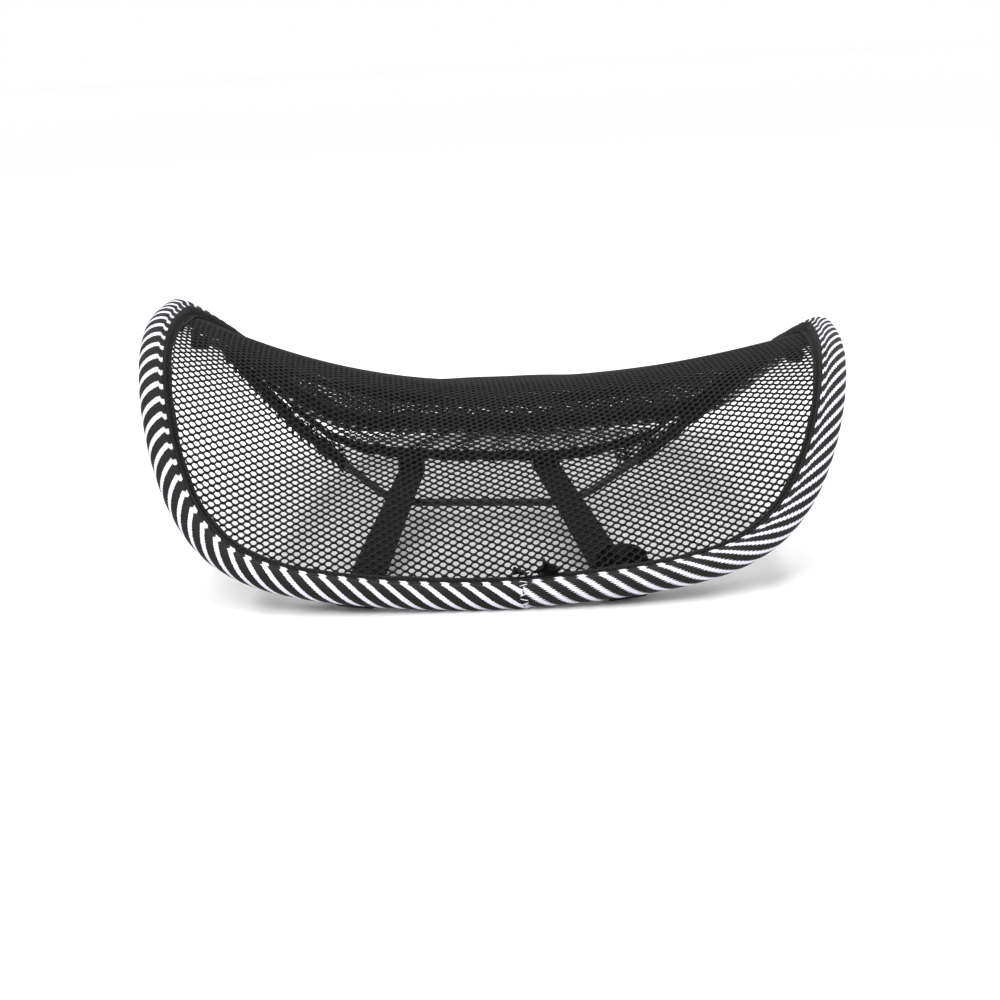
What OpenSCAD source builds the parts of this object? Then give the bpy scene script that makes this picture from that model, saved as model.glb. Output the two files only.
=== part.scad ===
// Mesh back support: a saddle-shaped rim of sprung wire in a padded striped sleeve carries
// a mesh panel, and a bent support wire hung from its two tips carries a second, upright
// mesh web behind it. Two elastic straps tie the web to the near side of the rim.
// It lies on its back: +Z is the side a person leans on, X runs from tip to tip, the straps
// are on the -Y side. Z is 0 on the surface it lies on.

/* [Rim] */
// Half width from the middle to a tip, measured to the rim's centre line
half_width = 188.8; // [170:0.2:210]
// Half depth from the middle to the near or far side, to the centre line
half_depth = 191.8; // [172:0.2:212]
// Height of a tip above the near and far sides, before the tips' difference
tip_rise = 105.8; // [85:0.2:115]
// Share of the rise that the left tip has more than the mean, and the right tip less
tip_lean = 0.124; // [0:0.002:0.15]
// How much narrower the far side is than the near side, as a share
far_narrowing = 0.18; // [0:0.01:0.2]
// How much lower the far half of the rim is than the near half, as a share
far_drop = 0.4; // [0:0.02:0.5]
// Diameter of the spring steel wire inside the rim
rim_wire_d = 3; // [2.5:0.1:3.4]
// Outer diameter of the striped sleeve
sleeve_d = 14; // [13.6:0.2:16]
// Wall of the striped sleeve
sleeve_wall = 1; // [0.8:0.1:1.2]
// Width of the black binding tape that shows beside the sleeve
tape_w = 5; // [4:0.5:7]
// Thickness of one layer of binding tape
tape_t = 0.8; // [0.6:0.1:1]
// How far the soft rim is pressed flat where it rests
rest_flat = 0.3; // [0.2:0.05:0.4]

/* [Mesh panel] */
// Height of the panel's middle above the rim's near and far sides
crown_h = 67.2; // [58:0.2:72]
// Thickness of the mesh
mesh_t = 1.2; // [0.8:0.1:1.4]
// How quickly the panel curves from its middle to the rim
crown_power = 1.92; // [1.9:0.01:2.4]

/* [Support wire and web] */
// Diameter of the coated support wire
support_d = 4.5; // [4:0.1:5]
// Height of the support wire's pivot on the left, above the rim's near side
pivot_left_z = 101; // [98:0.5:101.5]
// Height of the support wire's pivot on the right, above the rim's near side
pivot_right_z = 80; // [77:0.5:80.5]
// Wall of the mesh wrapped round the arms of the support wire
casing_wall = 1.2; // [0.8:0.1:1.4]
// Width of the bindings on the web's edges
hem_w = 6.5; // [5:0.5:7]

/* [Straps] */
// Width of a strap at the rim
strap_w = 19; // [16:0.5:22]
// Width of a strap where it meets the web
strap_neck_w = 16; // [14:0.5:18]
// Thickness of the elastic webbing
strap_t = 1.2; // [1:0.1:1.4]

/* [Hidden] */

// Outline of the rim seen from above: a superellipse with these two powers
power_x = 3.59;
power_y = 3.11;
// The rise to the tips: a steep part near the tips, and a shallow part over the whole side
steep_power = 4.73;
shallow_share = 0.195;
shallow_power = 1.6;
// Depth behind the tips, as a share, over which the narrowing and the drop set in
far_knee = 0.2;

sleeve_r = sleeve_d / 2;
sleeve_steps = 13;
foam_r = sleeve_r - sleeve_wall - 0.2;
foam_bore_r = rim_wire_d / 2 + 0.3;
// Half of the slot in the foam and the sleeve that the panel's edge enters
slot_half = 1.1;
// Height of the rim's centre line where it rests, on one flat facet of the sleeve
facet_angle = (360 - 2 * asin(slot_half / sleeve_r)) / sleeve_steps;
base_z = sleeve_r * cos(facet_angle / 2) - rest_flat;
// The sleeve's two ends meet on the near side, a little right of the middle
seam_q = 5;
seam_gap_q = 0.05;
// The wire's two ends meet in a ferrule in the middle of the far side
ferrule_q = 180;
ferrule_len = 16;
ferrule_wall = 1;
ferrule_bore_r = rim_wire_d / 2 + 0.35;
foam_gap_q = 4.2;
wire_gap_q = 0.1;
// The panel's edge stops this far inside the rim's centre line, and its tape starts here
panel_inset = 5;
tape_inset = 8;
tape_gap = 0.25;
// The panel's last ring of facets starts just inside the tape
tape_ring_inset = 16;

support_r = support_d / 2;
pivot_y = -6;
pivot_left = [-174, pivot_y, pivot_left_z];
pivot_right = [172, pivot_y, pivot_right_z];
pivot_dir = unit(pivot_right - pivot_left);
cap_r = support_r + 0.65;
cap_bore_r = support_r + 0.04;
cap_len = 10.4;
cap_floor = 1.5;
loop_bore_r = cap_r + 0.08;
loop_r = loop_bore_r + 1.2;
loop_len = 8;

// The support wire: out of the left cap, down the left arm, along its foot and up to the right cap
foot_left = [-64, -28, 5.5];
foot_right = [42, -29, 2];
support_points = [
    pivot_left - 4 * pivot_dir,
    pivot_left + 11 * pivot_dir,
    [-120, -13, 50],
    foot_left,
    foot_right,
    [88, -18, 29],
    [128, -9, 58],
    pivot_right - 12 * pivot_dir,
    pivot_right + 4 * pivot_dir
];
bend_cut = [6, 16, 15, 15, 14, 14, 6];
bend_steps = 5;
run_step = 9;
support_sides = 12;

// Lower edge of the web: height and depth against x, following the arms, then the free hem
web_low_z = [
    [-140, 81], [-120, 58], [-100, 42], [-80, 32], [-54, 27], [-15, 24.5],
    [34, 23], [60, 27], [86, 35], [104, 47.5], [126, 63.5]
];
web_low_y = [
    [-140, -10], [-120, -13], [-100, -17], [-63, -7],
    [34, -7], [60, -11], [86, -17], [104, -13.5], [126, -9.5]
];
// The web is drawn in steps of this length, and its bindings keep to the same steps
web_step = 3.5;
web_x = [-140, 126];
web_top_y = -6;
web_top_gap = 7;
hem_x = [-91, 77];
hem_t = 1.9;
hem_slot = mesh_t / 2 + 0.12;
hem_past = 0.8;

strap_left_x = [-68, -54];
strap_right_x = [71, 26];
strap_gap = 0.4;
strap_turn = 18;
hook_steps = 1;
// From a strap's face to the middle of a bar tack on it
tack_clear = 0.24;
// From the strap's end to the first bar tack, and from that to the next
tack_start = 0.45;
tack_pitch = 0.85;
run_steps = 6;
strap_end_y = -8.6;
strap_end_z = 20;
// Near face of the web's hem between the straps
web_face_y = -7 - hem_t / 2;
tab_len = 15;
tab_w = 24;

// Steps round the rim and the panel, in degrees of the rim's angle
rim_step = 5;
panel_step = 4;
panel_steps = 8;
foam_steps = 9;
wire_sides = 8;

// ---- Vectors and sweeps ----

function unit(v) = v / norm(v);

function side(v) = v < 0 ? -1 : 1;

function flatten(lists) = [for (l = lists) each l];

// A cap over a loop of m points: whole, or in strips where the loop runs out along a slotted
// wall and back along its other face
function cap_faces(m, slotted) = slotted
    ? [for (j = [0 : m / 2 - 2]) [j, j + 1, m - 2 - j, m - 1 - j]]
    : [[for (j = [0 : m - 1]) j]];

// Faces of a skin over n loops of m points, joined end to end or closed with two caps
function skin_faces(n, m, closed, slotted) = concat(
    [for (i = [0 : n - (closed ? 1 : 2)], j = [0 : m - 1], h = [0, 1])
        let (a = i * m + j, b = i * m + (j + 1) % m)
        let (c = ((i + 1) % n) * m + (j + 1) % m, d = ((i + 1) % n) * m + j)
        h == 0 ? [a, c, b] : [a, d, c]],
    closed ? [] : cap_faces(m, slotted),
    closed ? [] : [for (f = cap_faces(m, slotted)) [for (k = [len(f) - 1 : -1 : 0]) (n - 1) * m + f[k]]]
);

// A solid over a list of loops, each a list of points that runs anticlockwise along the way
module skin(loops, closed = false, slotted = false) {
    polyhedron(
        points = flatten(loops),
        faces = skin_faces(len(loops), len(loops[0]), closed, slotted),
        convexity = 10
    );
}

// Points of a flat section, placed by an origin and two directions
function placed(section, o, u, v) = [for (p = section) o + p[0] * u + p[1] * v];

function disc(r, sides) = [for (j = [0 : sides - 1]) [r * cos(360 * j / sides), r * sin(360 * j / sides)]];

// A tube wall with a slot of half width h towards the section's first direction
function slotted_ring(r_out, r_in, h, steps) = let (
    a_out = asin(h / r_out),
    a_in = asin(h / r_in)
) concat(
    [for (j = [0 : steps]) let (f = a_out + (360 - 2 * a_out) * j / steps) r_out * [cos(f), sin(f)]],
    [for (j = [steps : -1 : 0]) let (f = a_in + (360 - 2 * a_in) * j / steps) r_in * [cos(f), sin(f)]]
);

// ---- The rim's centre line and the panel's surface ----

// Point of the rim for an angle q that is 0 in the middle of the near side and 90 at the right tip
function rim(q) = let (
    sx = abs(sin(q)),
    cy = abs(cos(q)),
    whole = pow(sx, power_x) + pow(cy, power_y),
    x0 = half_width * side(sin(q)) * sx / pow(whole, 1 / power_x),
    y = -half_depth * side(cos(q)) * cy / pow(whole, 1 / power_y),
    s = pow(sx, power_x / 2) / sqrt(whole),
    rise = (1 - shallow_share) * pow(s, steep_power)
        + shallow_share * pow(abs(x0) / half_width, shallow_power),
    z = tip_rise * rise * (1 - tip_lean * x0 / half_width),
    far = pow(max(0, y / half_depth), 2),
    change = far / pow(far + far_knee * far_knee, 0.75)
) [x0 * (1 - far_narrowing * change), y, z * (1 - far_drop * change) + base_z];

function rim_along(q) = unit(rim(q + 0.2) - rim(q - 0.2));

// Direction from the rim into the panel, square to the rim
function rim_inward(q) = let (
    p = rim(q),
    t = rim_along(q),
    slope = [-p[0], -p[1], -crown_power * (p[2] - base_z - crown_h)]
) unit(slope - (slope * t) * t);

function rim_up(q) = cross(rim_along(q), rim_inward(q));

// Angle of the rim point in the direction of x, y from the middle, with its share of the way out
function panel_point(q, share) = let (p = rim(q)) [
    share * p[0],
    share * p[1],
    base_z + crown_h * (1 - pow(share, crown_power)) + (p[2] - base_z) * pow(share, crown_power)
];

// Height of the panel's middle surface over the line y = 0 between the tips
function crest_z(x) = let (
    tip = rim(x < 0 ? 270 : 90),
    share = min(1, abs(x) / abs(tip[0]))
) base_z + crown_h * (1 - pow(share, crown_power)) + (tip[2] - base_z) * pow(share, crown_power);

// Share of the way out at which the panel's edge stops, for its inset from the rim
function edge_share(q, inset) = let (p = rim(q)) 1 - inset / norm([
    p[0], p[1], crown_power * (p[2] - base_z - crown_h)
]);

function ring_angles(first, last) = concat(
    [first],
    [for (q = [rim_step * ceil((first + 0.2) / rim_step) : rim_step : last - 0.2]) q],
    [last]
);

// A point lifted to the surface that the rim rests on
function grounded(p) = [p[0], p[1], max(p[2], 0)];

// A section swept round the rim between two angles, with its rings at whole steps between them
module rim_sweep(section, first, last, slotted = true) {
    skin(
        [for (q = ring_angles(first, last))
            [for (p = placed(section, rim(q), rim_inward(q), rim_up(q))) grounded(p)]],
        slotted = slotted
    );
}

// ---- Paths ----

// A path of straight runs with its corners rounded, each by its own cut back along both runs
function rounded(points, cuts, steps) = concat(
    [points[0]],
    [for (i = [1 : len(points) - 2])
        let (p = points[i], c = cuts[i - 1])
        let (a = p + c * unit(points[i - 1] - p), b = p + c * unit(points[i + 1] - p))
        for (k = [0 : steps]) let (f = k / steps)
            (1 - f) * (1 - f) * a + 2 * f * (1 - f) * p + f * f * b],
    [points[len(points) - 1]]
);

// A path with its long runs divided into steps of at most the given length
function divided(path, step) = concat(
    [for (i = [0 : len(path) - 2])
        let (a = path[i], b = path[i + 1], n = max(1, ceil(norm(b - a) / step)))
        for (k = [0 : n - 1]) a + (b - a) * k / n],
    [path[len(path) - 1]]
);

function along(path, i) = unit(path[min(i + 1, len(path) - 1)] - path[max(i - 1, 0)]);

// A section swept along a path that never runs along Y
function path_loops(path, section) = [for (i = [0 : len(path) - 1])
    let (t = along(path, i), v = unit([0, 1, 0] - t[1] * t), u = cross(v, t))
    placed(section, path[i], u, v)];

lift = [0, 0, base_z];
support_path = [for (p = divided(rounded(support_points, bend_cut, bend_steps), run_step)) p + lift];

// Stretch of the support wire whose points lie between two values of x
function support_stretch(x0, x1) = [for (p = support_path) if (p[0] > x0 && p[0] < x1) p];

// Turns Z to the pivot's direction and moves to a point of the pivot
module on_pivot(p) {
    translate(p + lift)
        rotate([0, acos(pivot_dir[2]), atan2(pivot_dir[1], pivot_dir[0])])
            children();
}

// ---- Rim ----

module rim_wire() {
    color("silver")
        rim_sweep(
            disc(rim_wire_d / 2, wire_sides),
            ferrule_q + wire_gap_q - 360,
            ferrule_q - wire_gap_q,
            slotted = false
        );
}

module rim_wire_ferrule() {
    color("gray")
        translate(rim(ferrule_q))
            rotate([0, 90, 0])
                difference() {
                    cylinder(h = ferrule_len, r = ferrule_bore_r + ferrule_wall, center = true, $fn = 32);
                    cylinder(h = ferrule_len + 2, r = ferrule_bore_r, center = true, $fn = 32);
                }
}

module rim_foam() {
    color("dimgray")
        rim_sweep(
            slotted_ring(foam_r, foam_bore_r, slot_half, foam_steps),
            ferrule_q + foam_gap_q - 360,
            ferrule_q - foam_gap_q
        );
}

module rim_sleeve() {
    color("gainsboro")
        rim_sweep(
            slotted_ring(sleeve_r, sleeve_r - sleeve_wall, slot_half, sleeve_steps),
            seam_q + seam_gap_q,
            seam_q + 360 - seam_gap_q
        );
}

// Overcast stitches across the sleeve's joint, on its near and upper faces
module sleeve_seam_stitches() {
    stitch_len = 4;
    stitch_t = 0.4;
    color("white")
        for (k = [0 : 8]) {
            f = 60 + 18 * k;
            t = rim_along(seam_q);
            out = cos(f) * rim_inward(seam_q) + sin(f) * rim_up(seam_q);
            across = cross(t, out);
            section = [[-0.4, 0], [0.4, 0], [0.4, stitch_t], [-0.4, stitch_t]];
            o = rim(seam_q) + (sleeve_r + 0.02) * out;
            skin([
                placed(section, o - stitch_len / 2 * t, -across, out),
                placed(section, o + stitch_len / 2 * t, -across, out)
            ]);
        }
}

// One layer of binding tape on one face of the panel, from its inset to its full width
module edge_tape(face) {
    low = mesh_t / 2 + tape_gap;
    heights = face > 0 ? [low, low + tape_t] : [-low - tape_t, -low];
    color([0.06, 0.055, 0.06])
        skin([for (q = [0 : panel_step : 359])
            let (
                near = panel_point(q, edge_share(q, tape_inset)),
                far = panel_point(q, edge_share(q, tape_inset + tape_w))
            )
            [
                near + [0, 0, heights[0]], far + [0, 0, heights[0]],
                far + [0, 0, heights[1]], near + [0, 0, heights[1]]
            ]], closed = true);
}

module edge_tape_top() {
    edge_tape(1);
}

module edge_tape_bottom() {
    edge_tape(-1);
}

// ---- Mesh panel ----

// The panel's middle surface moved by half its thickness to one face
function panel_face(h) = [for (k = [1 : panel_steps], q = [0 : panel_step : 359])
    let (share = edge_share(q, tape_ring_inset) * k / (panel_steps - 1))
    panel_point(q, k < panel_steps ? share : edge_share(q, panel_inset)) + [0, 0, h]];

module main_mesh() {
    m = 360 / panel_step;
    count = m * panel_steps + 1;
    top = concat([[0, 0, base_z + crown_h + mesh_t / 2]], panel_face(mesh_t / 2));
    bottom = concat([[0, 0, base_z + crown_h - mesh_t / 2]], panel_face(-mesh_t / 2));
    fan = [for (i = [0 : m - 1]) [0, 1 + (i + 1) % m, 1 + i]];
    rows = [for (k = [0 : panel_steps - 2], i = [0 : m - 1], h = [0, 1])
        let (a = 1 + k * m + i, b = 1 + k * m + (i + 1) % m, c = b + m, d = a + m)
        h == 0 ? [a, b, c] : [a, c, d]];
    upper = concat(fan, rows);
    lower = [for (f = upper) [f[2] + count, f[1] + count, f[0] + count]];
    last = 1 + (panel_steps - 1) * m;
    wall = [for (i = [0 : m - 1], h = [0, 1])
        let (a = last + i, b = last + (i + 1) % m)
        h == 0 ? [a, b, b + count] : [a, b + count, a + count]];
    color([0.08, 0.08, 0.09])
        polyhedron(points = concat(top, bottom), faces = concat(upper, lower, wall), convexity = 6);
}

// ---- Loops that hold the support wire's ends ----

// A sewn tunnel under the panel's corner, with a tab up to the lower tape
module wire_loop(p, toward_tip) {
    tab_x = p[0] + toward_tip * 2.6;
    tip = rim(toward_tip < 0 ? 270 : 90);
    share = abs(tab_x) / abs(tip[0]);
    tab_top = crest_z(tab_x) - mesh_t / 2 - tape_t - 0.6;
    color([0.07, 0.07, 0.08])
        difference() {
            union() {
                on_pivot(p)
                    cylinder(h = loop_len, r = loop_r, center = true, $fn = 48);
                translate([tab_x - 1, p[1] - 8, p[2] + base_z + 1])
                    cube([2, 16, tab_top - p[2] - base_z - 1 - (tip[2] > 100 ? 1.2 : 0.6) * share]);
            }
            on_pivot(p)
                cylinder(h = loop_len + 6, r = loop_bore_r, center = true, $fn = 48);
        }
}

module wire_loop_left() {
    wire_loop(pivot_left, -1);
}

module wire_loop_right() {
    wire_loop(pivot_right, 1);
}

// ---- Support wire ----

module support_wire() {
    color([0.1, 0.1, 0.11])
        skin(path_loops(support_path, disc(support_r, support_sides)));
}

// A cap over a wire end, closed by a rounded floor at its outer end
module wire_end_cap(p, toward_tip) {
    color([0.05, 0.05, 0.05])
        on_pivot(p)
            mirror([0, 0, toward_tip < 0 ? 1 : 0])
                translate([0, 0, 4.2 + cap_floor - cap_len])
                    rotate_extrude($fn = 48)
                        polygon([
                            [cap_bore_r, 0], [cap_r, 0], [cap_r, cap_len - 1],
                            [cap_r - 0.7, cap_len - 0.3], [cap_r - 1.2, cap_len],
                            [0, cap_len], [0, cap_len - cap_floor], [cap_bore_r, cap_len - cap_floor]
                        ]);
}

module wire_end_cap_left() {
    wire_end_cap(pivot_left, -1);
}

module wire_end_cap_right() {
    wire_end_cap(pivot_right, 1);
}

// Mesh wrapped round an arm of the support wire
module arm_casing(x0, x1) {
    color([0.04, 0.04, 0.05])
        skin(
            path_loops(
                support_stretch(x0, x1),
                slotted_ring(support_r + 0.1 + casing_wall, support_r + 0.1, 0.4, 12)
            ),
            slotted = true
        );
}

module arm_casing_left() {
    arm_casing(-160, -98);
}

module arm_casing_right() {
    arm_casing(84, 157);
}

// ---- Web ----

function web_low(x) = [x, lookup(x, web_low_y), lookup(x, web_low_z) + base_z];

function web_top(x) = [x, web_top_y, crest_z(x) - web_top_gap];

module back_mesh() {
    h = [0, mesh_t / 2, 0];
    color([0.08, 0.08, 0.09])
        skin([for (x = [web_x[0] : web_step : web_x[1]])
            [web_low(x) - h, web_low(x) + h, web_top(x) + h, web_top(x) - h]]);
}

// Binding folded over an edge of the web, between two values of x
module folded_hem(x0, x1, depth, at_top) {
    skin([for (x = [x0 : web_step : x1])
        let (a = web_low(x), b = web_top(x), dir = (at_top ? -1 : 1) * unit(b - a), edge = at_top ? b : a)
        let (e = edge - hem_past * dir, g = edge - 0.1 * dir, f = edge + min(depth, 0.25 * norm(b - a)) * dir)
        let (h = [0, at_top ? -hem_t / 2 : hem_t / 2, 0], slot = [0, at_top ? -hem_slot : hem_slot, 0])
        [f - h, e - h, e + h, f + h, f + slot, g + slot, g - slot, f - slot]], slotted = true);
}

module back_mesh_lower_hem() {
    color([0.05, 0.05, 0.055])
        folded_hem(hem_x[0], hem_x[1], hem_w - hem_past, false);
}

module back_mesh_upper_hem() {
    color([0.05, 0.05, 0.055])
        folded_hem(web_x[0] + web_step, web_x[1] - web_step, 5, true);
}

// ---- Straps ----

// Where a strap crosses the rim: the rim's angle for the strap's x
function strap_q(xs) = asin(xs[0] / half_width * 0.93);

// Middle line of a strap with its direction across: hooked under the rim, then straight to the web's hem
function strap_line(xs) = let (
    q = strap_q(xs),
    c = rim(q),
    along = rim_along(q),
    back = unit([0, 1, 0] - along[1] * along),
    rise = cross(along, back),
    r = sleeve_r + strap_gap + strap_t / 2,
    end = [xs[1], strap_end_y, strap_end_z + base_z],
    tangent = -90 + atan2((end - c) * rise + r, (end - c) * back),
    from = c + r * cos(tangent) * back + r * sin(tangent) * rise
) concat(
    [for (k = [0 : hook_steps]) let (f = tangent - strap_turn * (1 - k / hook_steps))
        [c + r * cos(f) * back + r * sin(f) * rise, along]],
    [for (k = [1 : run_steps]) let (f = k / run_steps)
        [from + (end - from) * f, unit(along * (1 - f) + [1, 0, 0] * f)]]
);

module strap(xs) {
    line = strap_line(xs);
    path = [for (l = line) l[0]];
    color([0.07, 0.07, 0.08])
        skin([for (i = [0 : len(path) - 1])
            let (
                t = along(path, i),
                u = unit(line[i][1] - (line[i][1] * t) * t),
                v = cross(t, u),
                run = max(0, i - hook_steps) / run_steps,
                w = (strap_w + (strap_neck_w - strap_w) * run) / 2
            )
            placed([[-w, -strap_t / 2], [w, -strap_t / 2], [w, strap_t / 2], [-w, strap_t / 2]], path[i], u, v)]);
}

module strap_left() {
    strap(strap_left_x);
}

module strap_right() {
    strap(strap_right_x);
}

// Folded end of a strap, sewn to the rim's inner side just under the panel
module strap_tab(x, tilt) {
    c = rim(strap_q([x]));
    color([0.03, 0.03, 0.03])
        translate([x, c[1] + sleeve_r + 1.2, c[2] - 3])
            rotate([tilt, 0, 0])
                translate([-tab_w / 2, 0, -1])
                    cube([tab_w, tab_len, 2]);
}

module strap_tab_left() {
    strap_tab(strap_left_x[0], 24);
}

module strap_tab_right() {
    strap_tab(strap_right_x[0], 32);
}

// Bar tacks through the hooked end of each strap, under the rim
module strap_rim_stitches() {
    color([0.12, 0.12, 0.13])
        for (xs = [strap_left_x, strap_right_x])
            rim_tack(strap_line(xs));
}

module rim_tack(line) {
    t = unit(line[1][0] - line[0][0]);
    u = line[0][1];
    v = cross(t, u);
    w = strap_w / 2 - 1.5;
    section = [[-w, -0.12], [w, -0.12], [w, 0.12], [-w, 0.12]];
    for (k = [0, 1]) {
        o = line[0][0] + (tack_start + tack_pitch * k) * t - (strap_t / 2 + tack_clear) * v;
        skin([placed(section, o - 0.3 * t, u, v), placed(section, o + 0.3 * t, u, v)]);
    }
}

// Bar tacks through the web's hem at each strap's upper end
module strap_hem_stitches() {
    color([0.12, 0.12, 0.13])
        for (xs = [strap_left_x, strap_right_x])
            for (k = [-1, 1])
                translate([xs[1] - strap_neck_w / 2 + 1, web_face_y - 0.2, base_z + strap_end_z + 5 + 1.6 * k])
                    cube([strap_neck_w - 2, 0.18, 0.6]);
}

rim_wire();
rim_wire_ferrule();
rim_foam();
rim_sleeve();
sleeve_seam_stitches();
edge_tape_top();
edge_tape_bottom();
main_mesh();
wire_loop_left();
wire_loop_right();
strap_tab_left();
strap_tab_right();
strap_rim_stitches();
support_wire();
wire_end_cap_left();
wire_end_cap_right();
arm_casing_left();
arm_casing_right();
back_mesh();
back_mesh_lower_hem();
back_mesh_upper_hem();
strap_hem_stitches();
strap_left();
strap_right();
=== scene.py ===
"""Looks of the mesh back support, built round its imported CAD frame. Lengths are in metres."""

import math

import bmesh
import bpy
import numpy as np
from mathutils import Matrix, Vector


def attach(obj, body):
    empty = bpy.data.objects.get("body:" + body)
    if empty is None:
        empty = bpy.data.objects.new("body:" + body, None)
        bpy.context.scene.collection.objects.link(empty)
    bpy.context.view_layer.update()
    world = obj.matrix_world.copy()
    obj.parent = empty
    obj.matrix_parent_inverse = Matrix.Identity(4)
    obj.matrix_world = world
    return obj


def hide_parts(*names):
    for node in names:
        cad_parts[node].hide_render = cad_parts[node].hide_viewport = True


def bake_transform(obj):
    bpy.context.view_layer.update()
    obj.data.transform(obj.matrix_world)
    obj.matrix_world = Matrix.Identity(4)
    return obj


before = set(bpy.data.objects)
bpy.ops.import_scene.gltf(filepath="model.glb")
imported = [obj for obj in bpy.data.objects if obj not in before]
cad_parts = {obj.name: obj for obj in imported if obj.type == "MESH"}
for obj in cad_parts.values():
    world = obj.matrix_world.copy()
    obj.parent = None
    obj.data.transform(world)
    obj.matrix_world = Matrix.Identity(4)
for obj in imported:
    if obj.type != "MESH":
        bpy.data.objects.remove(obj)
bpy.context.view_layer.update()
rng = np.random.default_rng(11)

RIM, SUPPORT = "rim", "support"

# ---- Driving sizes, the same as the CAD model's ----

HALF_WIDTH, HALF_DEPTH = 0.1888, 0.1918
TIP_RISE, TIP_LEAN = 0.1058, 0.124
FAR_NARROWING, FAR_DROP, FAR_KNEE = 0.18, 0.4, 0.2
POWER_X, POWER_Y = 3.59, 3.11
STEEP_POWER, SHALLOW_SHARE, SHALLOW_POWER = 4.73, 0.195, 1.6
CROWN_H, CROWN_POWER = 0.0672, 1.92
SLEEVE_R = 0.0070
BASE_Z = 0.006516
SEAM_Q = 5.6
SUPPORT_R = 0.00225
PIVOT_LEFT = np.array([-0.174, -0.006, 0.101 + BASE_Z])
PIVOT_RIGHT = np.array([0.172, -0.006, 0.080 + BASE_Z])


# ---- The rim's line and the panel's surface, by the CAD model's formulas ----


def rim(q):
    """Points of the rim's centre line for angles q in degrees, 0 in the middle of the near side."""
    q = np.radians(np.asarray(q, dtype=float))
    sx, cy = np.abs(np.sin(q)), np.abs(np.cos(q))
    whole = sx**POWER_X + cy**POWER_Y
    x0 = HALF_WIDTH * np.sign(np.sin(q)) * sx / whole ** (1 / POWER_X)
    y = -HALF_DEPTH * np.sign(np.cos(q)) * cy / whole ** (1 / POWER_Y)
    s = sx ** (POWER_X / 2) / np.sqrt(whole)
    rise = (1 - SHALLOW_SHARE) * s**STEEP_POWER + SHALLOW_SHARE * (np.abs(x0) / HALF_WIDTH) ** SHALLOW_POWER
    z = TIP_RISE * rise * (1 - TIP_LEAN * x0 / HALF_WIDTH)
    far = np.maximum(0, y / HALF_DEPTH) ** 2
    change = far / (far + FAR_KNEE**2) ** 0.75
    return np.stack([x0 * (1 - FAR_NARROWING * change), y, z * (1 - FAR_DROP * change) + BASE_Z], axis=-1)


def unit(v):
    return v / np.linalg.norm(v, axis=-1, keepdims=True)


def rim_frame(q):
    """The rim's points with their directions along it, into the panel and up from it."""
    q = np.asarray(q, dtype=float)
    p = rim(q)
    along = unit(rim(q + 0.2) - rim(q - 0.2))
    slope = np.stack([-p[..., 0], -p[..., 1], -CROWN_POWER * (p[..., 2] - BASE_Z - CROWN_H)], axis=-1)
    inward = unit(slope - np.sum(slope * along, axis=-1, keepdims=True) * along)
    return p, along, inward, np.cross(along, inward)


TABLE_Q = np.linspace(-180, 180, 2881)
TABLE_P = rim(TABLE_Q)
TABLE_ANGLE = np.degrees(np.arctan2(TABLE_P[:, 0], -TABLE_P[:, 1]))
TABLE_ANGLE[0], TABLE_ANGLE[-1] = -180, 180
TABLE_LENGTH = np.concatenate([[0], np.cumsum(np.linalg.norm(np.diff(TABLE_P, axis=0), axis=1))])


def rim_length(q):
    """Length along the rim from q = -180."""
    return np.interp(q, TABLE_Q, TABLE_LENGTH)


def rim_at_length(length):
    return np.interp(length, TABLE_LENGTH, TABLE_Q)


def share_of(x, y):
    """How far out a point lies on its way from the middle to the rim, with the rim's height there."""
    q = np.interp(np.degrees(np.arctan2(x, -y)), TABLE_ANGLE, TABLE_Q)
    p = rim(q)
    return np.hypot(x, y) / np.hypot(p[..., 0], p[..., 1]), p[..., 2] - BASE_Z


def panel_z(x, y):
    share, rise = share_of(x, y)
    f = share**CROWN_POWER
    return BASE_Z + CROWN_H * (1 - f) + rise * f


# ---- Mesh helpers ----


def add_object(name, verts, faces, material, body=RIM, smooth=True):
    data = bpy.data.meshes.new(name)
    data.from_pydata([tuple(v) for v in verts], [], [tuple(int(i) for i in f) for f in faces])
    data.validate()
    data.polygons.foreach_set("use_smooth", [smooth] * len(data.polygons))
    data.materials.append(material)
    data.update()
    piece = bpy.data.objects.new(name, data)
    bpy.context.scene.collection.objects.link(piece)
    if body:
        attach(piece, body)
    return piece


def fix_normals(piece):
    """Turns a closed piece's faces outward."""
    shape = bmesh.new()
    shape.from_mesh(piece.data)
    bmesh.ops.recalc_face_normals(shape, faces=shape.faces)
    shape.to_mesh(piece.data)
    shape.free()


def grid_faces(rows, cols, wrap_rows=False, wrap_cols=False):
    """Faces of a grid of points, row after row; wrap_cols closes each row into a loop."""
    r = np.arange(rows if wrap_rows else rows - 1)[:, None]
    c = np.arange(cols if wrap_cols else cols - 1)[None, :]
    a = r * cols + c
    b = r * cols + (c + 1) % cols
    d = ((r + 1) % rows) * cols + c
    e = ((r + 1) % rows) * cols + (c + 1) % cols
    return np.stack([a, b, e, d], axis=-1).reshape(-1, 4)


def add_uv(piece, name, values):
    """A UV layer from one value pair for each point."""
    index = np.empty(len(piece.data.loops), dtype=int)
    piece.data.loops.foreach_get("vertex_index", index)
    layer = piece.data.uv_layers.new(name=name)
    layer.data.foreach_set("uv", np.asarray(values, dtype=float)[index].ravel())


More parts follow.
